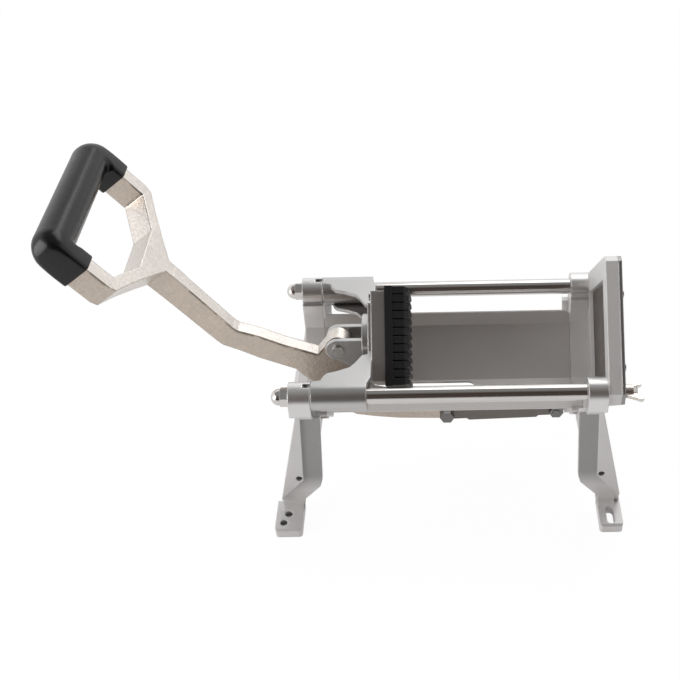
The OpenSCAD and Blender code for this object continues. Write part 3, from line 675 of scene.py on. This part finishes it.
def coat_ring(place, way, half, depth, radius, steps=8):
    """A rounded rectangle across the coating: width along way, depth out of the handle's plane."""
    ring = []
    for quarter in range(4):
        sign_p = (1, -1, -1, 1)[quarter]
        sign_w = (1, 1, -1, -1)[quarter]
        for step in range(steps + 1):
            angle = math.pi / 2 * (quarter + step / steps)
            p = sign_p * (half - radius) + radius * math.cos(angle)
            w = sign_w * (depth - radius) + radius * math.sin(angle)
            ring.append((place[0] + way[0] * p, place[1] + way[1] * p, w))
    return ring


def coat_rings():
    """Rings of the coating in the handle's plane, from one arm round both corners to the other."""
    rings = []
    for u, inset, cut in COAT_END:
        place = (u, COAT_HALF - COAT_W / 2)
        rings.append(coat_ring(place, (0, 1), COAT_W / 2 - inset, COAT_D / 2 - inset, COAT_R - cut))
    inner_u = GRIP_AXIS - GRIP_R - COAT_FILLET
    inner_v = COAT_HALF - COAT_W - COAT_FILLET
    for step in range(COAT_STEPS + 1):
        angle = math.pi / 2 * step / COAT_STEPS
        way = (math.sin(angle), math.cos(angle))
        half = (coat_reach(inner_u, inner_v, way) - COAT_FILLET) / 2
        share = smooth_step(step / COAT_STEPS)
        depth = COAT_D / 2 + (GRIP_R - COAT_D / 2) * share
        radius = COAT_R + (min(half, depth) - COAT_R) * share
        middle = COAT_FILLET + half
        place = (inner_u + way[0] * middle, inner_v + way[1] * middle)
        rings.append(coat_ring(place, way, half, depth, radius))
    mirrored = [[(u, -v, w) for u, v, w in ring] for ring in reversed(rings)]
    return rings + mirrored


def sweep_rings(shape, rings):
    """Joins rings of equal length into a closed skin."""
    rows = [[shape.verts.new(point) for point in ring] for ring in rings]
    count = len(rows[0])
    for one, two in zip(rows, rows[1:]):
        for i in range(count):
            shape.faces.new((one[i], one[(i + 1) % count], two[(i + 1) % count], two[i]))
    shape.faces.new(reversed(rows[0]))
    shape.faces.new(rows[-1])
    bmesh.ops.remove_doubles(shape, verts=shape.verts, dist=TINY)
    bmesh.ops.recalc_face_normals(shape, faces=shape.faces)


def finish_piece(name, shape, material):
    """Turns a bmesh into a smooth shaded object with one material."""
    mesh = bpy.data.meshes.new(name)
    shape.to_mesh(mesh)
    shape.free()
    mesh.materials.append(material)
    mesh.shade_smooth()
    piece = bpy.data.objects.new(name, mesh)
    bpy.context.scene.collection.objects.link(piece)
    return piece


# One operator for each piece or group of like pieces


# Scale of the castings' grain, times its size
GRAIN_SCALE = 0.9
# How metallic the frames' legs and clamps are, and how much smoother the clamps are
LEG_METAL = 0.4
CLAMP_METAL = 0.95
CLAMP_POLISH = 0.13
# How bright the milled retainer and the oiled bolts are beside their plain metal
MILLED_SHARE = 0.6
OILED_SHARE = 0.35
# Darker cloudy patches along the upper rims of the lever's sides: the rim's width and slope, the clouds and
# the tone
RIM_RADIUS = 0.006
RIM_SLOPE = (0.12, 0.26)
CLOUD_SCALE = 38.0
CLOUD_EDGE = (0.46, 0.54)
RIM_PATCH_TONE = (0.16, 0.13, 0.10, 1)
# Specular level of the vinyl, where plain plastic has 0.5
VINYL_SHINE = 0.34


class CUTTER_OT_groups(bpy.types.Operator):
    """Builds the shader groups that the finishes share"""

    bl_idname = "cutter.groups"
    bl_label = "Shader groups"

    def execute(self, context):
        GROUPS["Cast grain"] = cast_grain_group()
        GROUPS["Soft edge"] = soft_edge_group()
        GROUPS["Brushed lines"] = brushed_group()
        GROUPS["Leg zones"] = leg_zones_group()
        GROUPS["Upright sides"] = upright_sides_group()
        GROUPS["Screw thread"] = thread_group()
        return {"FINISHED"}


class CUTTER_OT_castings(bpy.types.Operator):
    """Finishes the frames, the sliding head, the blade holder and its retainer"""

    bl_idname = "cutter.castings"
    bl_label = "Aluminium castings"

    def execute(self, context):
        look = context.scene.cutter_finishes
        scale = GRAIN_SCALE / look.grain_size
        satin = cast_material(
            "Satin casting",
            tuple(look.casting),
            metallic=0.95,
            roughness=0.34,
            scale=scale,
            contrast=0.10,
            depth=0.00005,
            radius=look.edge_radius,
            glint=0.7,
        )
        dress(satin, "slide_head")
        raw = cast_material(
            "Raw casting",
            tuple(look.raw_casting),
            metallic=0.45,
            roughness=0.52,
            scale=scale,
            contrast=0.16,
            depth=0.00009,
            radius=look.edge_radius,
        )
        dress(raw, "blade_holder")
        milled = cast_material(
            "Milled casting",
            toned(look.casting, MILLED_SHARE),
            metallic=0.85,
            roughness=0.36,
            scale=scale,
            contrast=0.12,
            depth=0.00005,
            radius=look.edge_radius,
        )
        dress(milled, "blade_retainer")
        frames = cast_material(
            "Frame casting",
            tuple(look.raw_casting),
            metallic=LEG_METAL,
            roughness=0.48,
            scale=scale,
            contrast=0.10,
            depth=0.00007,
            radius=look.edge_radius,
            glint=0.5,
        )
        self.add_zones(frames.node_tree, look.recess_shade)
        dress(frames, "rear_frame", "front_frame")
        return {"FINISHED"}

    def add_zones(self, tree, recess_shade):
        """Paints shade on the recessed leg bars, and makes the clamps smoother and more metallic."""
        shader = tree.nodes["Principled BSDF"]
        zones = place_group(tree, "Leg zones")
        clamp = zones.outputs["Clamp"]
        dull = shader.inputs["Metallic"].links[0].from_node
        tree.links.new(ramp(tree, clamp, 0.0, 1.0, LEG_METAL, CLAMP_METAL), dull.inputs[0])
        # Painted shade: the recessed leg bars are darker
        tone = add(tree, "ShaderNodeHueSaturation")
        tree.links.new(shader.inputs["Base Color"].links[0].from_socket, tone.inputs["Color"])
        recess = ramp(tree, zones.outputs["Recess"], 0.0, 1.0, 1.0, recess_shade)
        tree.links.new(recess, tone.inputs["Value"])
        tree.links.new(tone.outputs["Color"], shader.inputs["Base Color"])
        grain = shader.inputs["Roughness"].links[0].from_socket
        smooth = math_node(tree, "MULTIPLY", clamp, CLAMP_POLISH)
        tree.links.new(math_node(tree, "SUBTRACT", grain, smooth), shader.inputs["Roughness"])


class CUTTER_OT_tray(bpy.types.Operator):
    """Finishes the bent sheet tray and its screws"""

    bl_idname = "cutter.tray"
    bl_label = "Tray"

    def execute(self, context):
        look = context.scene.cutter_finishes
        sheet = cast_material(
            "Blasted sheet",
            tuple(look.sheet),
            metallic=0.6,
            roughness=0.5,
            scale=1500.0,
            contrast=0.08,
            depth=0.00003,
            radius=0.0005,
        )
        dress(sheet, "v_tray", "tray_screws")
        return {"FINISHED"}


class CUTTER_OT_rods(bpy.types.Operator):
    """Finishes the guide rods and the domed nuts"""

    bl_idname = "cutter.rods"
    bl_label = "Rods and domed nuts"

    def execute(self, context):
        look = context.scene.cutter_finishes
        colour = tuple(look.polished)
        nuts = bright_material("Polished nuts", colour, roughness=0.1, depth=0.04, radius=0.0004)
        dress(nuts, "acorn_nuts")
        rods = bright_material("Polished steel", colour, roughness=0.13, depth=0.06, radius=0.0004)
        tree = rods.node_tree
        shader = tree.nodes["Principled BSDF"]
        thread = place_group(tree, "Screw thread")
        smooth = shader.inputs["Normal"].links[0].from_socket
        bump(tree, shader, thread.outputs["Height"], THREAD_HEIGHT, smooth)
        dress(rods, "guide_rod_front", "guide_rod_back")
        return {"FINISHED"}


class CUTTER_OT_lever(bpy.types.Operator):
    """Finishes the lever, and makes its coated grip smooth"""

    bl_idname = "cutter.lever"
    bl_label = "Lever and grip"

    def execute(self, context):
        look = context.scene.cutter_finishes
        nickel = cast_material(
            "Nickel casting",
            tuple(look.nickel),
            metallic=0.95,
            roughness=0.36,
            scale=330.0,
            contrast=0.42,
            depth=0.0009,
            radius=0.0022,
            polish=0.14,
        )
        self.add_side_shade_and_rims(nickel.node_tree, tuple(look.side_shade))
        dress(nickel, "lever_arm")
        vinyl = plastic_material(
            "Vinyl coating",
            tuple(look.vinyl),
            roughness=0.26,
            scale=90.0,
            depth=0.0005,
            radius=0.0005,
            coat=0.1,
        )
        shader = vinyl.node_tree.nodes["Principled BSDF"]
        shader.inputs["Specular IOR Level"].default_value = VINYL_SHINE
        dress(vinyl, "handle_grip")

        shape = bmesh.new()
        sweep_rings(shape, [[on_handle(point) for point in ring] for ring in coat_rings()])
        grip = finish_piece("smooth_grip", shape, vinyl)
        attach(grip, "lever")
        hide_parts("handle_grip")
        return {"FINISHED"}

    def add_side_shade_and_rims(self, tree, side_shade):
        """Paints shade on the lever's upright sides, and spots their upper rims with darker cloudy patches.
        """
        shader = tree.nodes["Principled BSDF"]
        plain = shader.inputs["Base Color"].links[0].from_socket
        side = place_group(tree, "Upright sides").outputs["Side"]
        # Painted shade: the upright sides are darker than the top faces
        shaded_sides = tinted(tree, plain, side_shade, side)
        clouds = noise(tree, object_place(tree), CLOUD_SCALE, detail=5.0, rough=0.65)
        rounded = place_group(tree, "Soft edge", Radius=RIM_RADIUS)
        local = add(tree, "ShaderNodeVectorTransform", vector_type="NORMAL")
        local.convert_from = "WORLD"
        local.convert_to = "OBJECT"
        tree.links.new(rounded.outputs["Normal"], local.inputs[0])
        slope = ramp(tree, split(tree, local.outputs[0])["Z"], *RIM_SLOPE)
        rim = math_node(tree, "MULTIPLY", slope, side)
        rim_patches = math_node(tree, "MULTIPLY", rim, ramp(tree, clouds, *CLOUD_EDGE))
        tree.links.new(tinted(tree, shaded_sides, RIM_PATCH_TONE, rim_patches), shader.inputs["Base Color"])


class CUTTER_OT_push_block(bpy.types.Operator):
    """Finishes the moulded push block"""

    bl_idname = "cutter.push_block"
    bl_label = "Push block"

    def execute(self, context):
        look = context.scene.cutter_finishes
        moulding = plastic_material(
            "Black moulding",
            tuple(look.moulding),
            roughness=0.38,
            scale=700.0,
            depth=0.00004,
            radius=0.0004,
        )
        dress(moulding, "push_block")
        return {"FINISHED"}


class CUTTER_OT_links(bpy.types.Operator):
    """Finishes the link bars, the bolts, the pin and the small screws"""

    bl_idname = "cutter.links"
    bl_label = "Links and bolts"

    def execute(self, context):
        look = context.scene.cutter_finishes
        dark = cast_material(
            "Dark steel",
            tuple(look.dark_steel),
            metallic=0.8,
            roughness=0.42,
            scale=600.0,
            contrast=0.3,
            depth=0.00005,
            radius=0.0006,
        )
        dress(dark, "link_bar_front", "link_bar_back", "set_screws", "pivot_clip")
        zinc = bright_material("Plated steel", tuple(look.zinc), roughness=0.26, depth=0.12, radius=0.0004)
        dress(zinc, "pivot_pin", "push_screws", "retainer_screws")
        worn = toned(look.zinc, OILED_SHARE)
        oiled = bright_material("Oiled bolts", worn, roughness=0.22, depth=0.12, radius=0.0006)
        dress(oiled, "link_bolts", "anchor_bolt", "anchor_nut")
        return {"FINISHED"}


class CUTTER_OT_blades(bpy.types.Operator):
    """Finishes the crossed blades"""

    bl_idname = "cutter.blades"
    bl_label = "Blades"

    def execute(self, context):
        look = context.scene.cutter_finishes
        ground = bright_material(
            "Ground blades", tuple(look.polished), roughness=0.2, depth=0.1, radius=0.0001
        )
        dress(ground, "blades_rear", "blades_front")
        return {"FINISHED"}


class CUTTER_OT_wing_nuts(bpy.types.Operator):
    """Finishes the wing nuts"""

    bl_idname = "cutter.wing_nuts"
    bl_label = "Wing nuts"

    def execute(self, context):
        look = context.scene.cutter_finishes
        plated = cast_material(
            "Plated casting",
            tuple(look.nickel),
            metallic=1.0,
            roughness=0.24,
            scale=900.0,
            contrast=0.12,
            depth=0.00003,
            radius=0.0008,
        )
        dress(plated, "wing_nut_front", "wing_nut_back")
        return {"FINISHED"}


class CUTTER_OT_bushes(bpy.types.Operator):
    """Finishes the bearing bushes"""

    bl_idname = "cutter.bushes"
    bl_label = "Bushes"

    def execute(self, context):
        look = context.scene.cutter_finishes
        bronze = cast_material(
            "Oiled bronze",
            tuple(look.bronze),
            metallic=1.0,
            roughness=0.35,
            scale=1200.0,
            contrast=0.2,
            depth=0.00003,
            radius=0.0003,
        )
        dress(bronze, "head_bushes", "lever_bush")
        return {"FINISHED"}


# Floor, room, lamps and camera


# Floor: its colour, its glow where it is seen, the fade at the table's end and what is left beyond
FLOOR_COLOUR = (0.9, 0.9, 0.9, 1)
FLOOR_GLOW = 1.05
TABLE_FADE = 0.1
FLOOR_BEYOND = 0.1
# Room: the way to its dim front, the cosines between which that fades in, and the ceiling's heights
FRONT_WAY = (0.05, -0.97, 0.2)
FRONT_EDGE = (0.45, 0.82)
CEILING_EDGE = (0.56, 0.82)
# Lamps: name, size and place, and the point that they look at
KEY_LAMP = ("Key", 1.0, (0.5, 0.9, 1.5))
FILL_LAMP = ("Fill", 0.9, (-1.2, -0.6, 0.5))
LAMP_AIM = (0.12, 0.0, 0.1)
# Camera: width of the sensor in millimetres, shift of the frame, and the ways to the right and up
SENSOR_WIDTH = 36
SHIFT_X = -0.1269
SHIFT_Y = 0.0021
CAMERA_RIGHT = (0.99972, -0.00079, -0.0238)
CAMERA_UP = (0.01851, 0.6529, 0.75723)


def seen_rays(tree, path):
    """Mask of the rays by which the camera sees a thing itself, through glass too."""
    return math_node(tree, "MAXIMUM", path.outputs["Is Camera Ray"], path.outputs["Is Transmission Ray"])


def add_floor(scene, stage):
    """A white floor that is a table of limited reach in reflections."""
    mesh = bpy.data.meshes.new("Floor")
    shape = bmesh.new()
    bmesh.ops.create_grid(shape, x_segments=1, y_segments=1, size=stage.floor_half)
    shape.to_mesh(mesh)
    shape.free()
    floor = bpy.data.objects.new("Floor", mesh)
    scene.collection.objects.link(floor)
    material, tree, shader = new_material("Floor", metallic=0.0, roughness=0.9)
    shader.inputs["Base Color"].default_value = FLOOR_COLOUR
    shader.inputs["Specular IOR Level"].default_value = 0.1
    glow = add(tree, "ShaderNodeEmission")
    glow.inputs["Strength"].default_value = FLOOR_GLOW
    path = add(tree, "ShaderNodeLightPath")
    seen = math_node(tree, "MULTIPLY", seen_rays(tree, path), stage.floor_white)
    along = split(tree, object_place(tree))["Y"]
    table_end = -stage.table_reach
    table = ramp(tree, along, table_end - TABLE_FADE, table_end + TABLE_FADE, FLOOR_BEYOND, 1.0)
    lifted = math_node(tree, "MULTIPLY", table, stage.floor_mirror)
    mirrored = math_node(tree, "MULTIPLY", path.outputs["Is Glossy Ray"], lifted)
    mix = add(tree, "ShaderNodeMixShader")
    tree.links.new(math_node(tree, "MAXIMUM", seen, mirrored), mix.inputs["Fac"])
    tree.links.new(shader.outputs[0], mix.inputs[1])
    tree.links.new(glow.outputs[0], mix.inputs[2])
    tree.links.new(mix.outputs[0], tree.nodes["Material Output"].inputs["Surface"])
    mesh.materials.append(material)
    return floor


def add_room(scene, stage):
    """A white room with a dimmer ceiling and a dim warm front, and plain white where it is seen."""
    world = bpy.data.worlds.new("Studio")
    scene.world = world
    world.use_nodes = True
    tree = world.node_tree
    back = tree.nodes["Background"]
    way = add(tree, "ShaderNodeTexCoord").outputs["Generated"]
    facing = add(tree, "ShaderNodeVectorMath", operation="DOT_PRODUCT")
    tree.links.new(way, facing.inputs[0])
    facing.inputs[1].default_value = FRONT_WAY
    above = ramp(tree, split(tree, way)["Z"], *CEILING_EDGE, 1.0, stage.top_light)
    dark = ramp(tree, facing.outputs["Value"], *FRONT_EDGE, 1.0, stage.front_light)
    room = math_node(tree, "MULTIPLY", math_node(tree, "MULTIPLY", above, dark), stage.room_light)
    seen = seen_rays(tree, add(tree, "ShaderNodeLightPath"))
    tree.links.new(math_node(tree, "MAXIMUM", room, seen), back.inputs["Strength"])
    front = ramp(tree, facing.outputs["Value"], *FRONT_EDGE)
    unseen = math_node(tree, "SUBTRACT", 1.0, seen)
    tint = add(tree, "ShaderNodeMix", data_type="RGBA")
    tint.inputs["A"].default_value = (1, 1, 1, 1)
    tint.inputs["B"].default_value = tuple(stage.front_tint)
    tree.links.new(math_node(tree, "MULTIPLY", front, unseen), tint.inputs["Factor"])
    tree.links.new(tint.outputs["Result"], back.inputs["Color"])


def add_lamp(scene, name, size, place, power):
    """A square soft lamp that looks at the machine."""
    light = bpy.data.lights.new(name, "AREA")
    light.energy = power
    light.size = size
    lamp = bpy.data.objects.new(name, light)
    turn = (Vector(place) - Vector(LAMP_AIM)).to_track_quat("Z", "Y")
    lamp.matrix_world = Matrix.Translation(place) @ turn.to_matrix().to_4x4()
    scene.collection.objects.link(lamp)


def add_camera(scene, stage):
    """The camera of the photograph."""
    lens = bpy.data.cameras.new("Camera")
    lens.lens = stage.lens
    lens.sensor_width = SENSOR_WIDTH
    lens.shift_x = SHIFT_X
    lens.shift_y = SHIFT_Y
    camera = bpy.data.objects.new("Camera", lens)
    up = Vector(CAMERA_UP)
    back_way = Vector(CAMERA_RIGHT).cross(up).normalized()
    right = up.cross(back_way).normalized()
    up = back_way.cross(right)
    turn = Matrix((right, up, back_way)).transposed().to_4x4()
    camera.matrix_world = Matrix.Translation(stage.eye) @ turn
    scene.collection.objects.link(camera)
    scene.camera = camera


class CUTTER_OT_stage(bpy.types.Operator):
    """Adds the floor, the soft light and the camera"""

    bl_idname = "cutter.stage"
    bl_label = "Stage"

    def execute(self, context):
        scene = context.scene
        stage = scene.cutter_stage
        scene.view_settings.view_transform = "Standard"
        floor = add_floor(scene, stage)
        add_room(scene, stage)
        add_lamp(scene, *KEY_LAMP, stage.key_power)
        add_lamp(scene, *FILL_LAMP, stage.fill_power)
        add_camera(scene, stage)
        return {"FINISHED"}


OPERATORS = (
    CUTTER_OT_groups,
    CUTTER_OT_castings,
    CUTTER_OT_tray,
    CUTTER_OT_rods,
    CUTTER_OT_lever,
    CUTTER_OT_push_block,
    CUTTER_OT_links,
    CUTTER_OT_blades,
    CUTTER_OT_wing_nuts,
    CUTTER_OT_bushes,
    CUTTER_OT_stage,
)


class CUTTER_PT_panel(bpy.types.Panel):
    """Lists the steps that dress the cutter"""

    bl_idname = "CUTTER_PT_panel"
    bl_label = "Potato stick cutter"
    bl_space_type = "VIEW_3D"
    bl_region_type = "UI"
    bl_category = "Cutter"

    def draw(self, context):
        for operator in OPERATORS:
            self.layout.operator(operator.bl_idname)


CLASSES = (CutterFinishes, CutterStage) + OPERATORS + (CUTTER_PT_panel,)


def register():
    for each in CLASSES:
        bpy.utils.register_class(each)
    bpy.types.Scene.cutter_finishes = bpy.props.PointerProperty(type=CutterFinishes)
    bpy.types.Scene.cutter_stage = bpy.props.PointerProperty(type=CutterStage)


def unregister():
    del bpy.types.Scene.cutter_stage
    del bpy.types.Scene.cutter_finishes
    for each in reversed(CLASSES):
        bpy.utils.unregister_class(each)


def main():
    register()
    for operator in OPERATORS:
        group, name = operator.bl_idname.split(".")
        getattr(getattr(bpy.ops, group), name)()


if __name__ == "__main__":
    main()
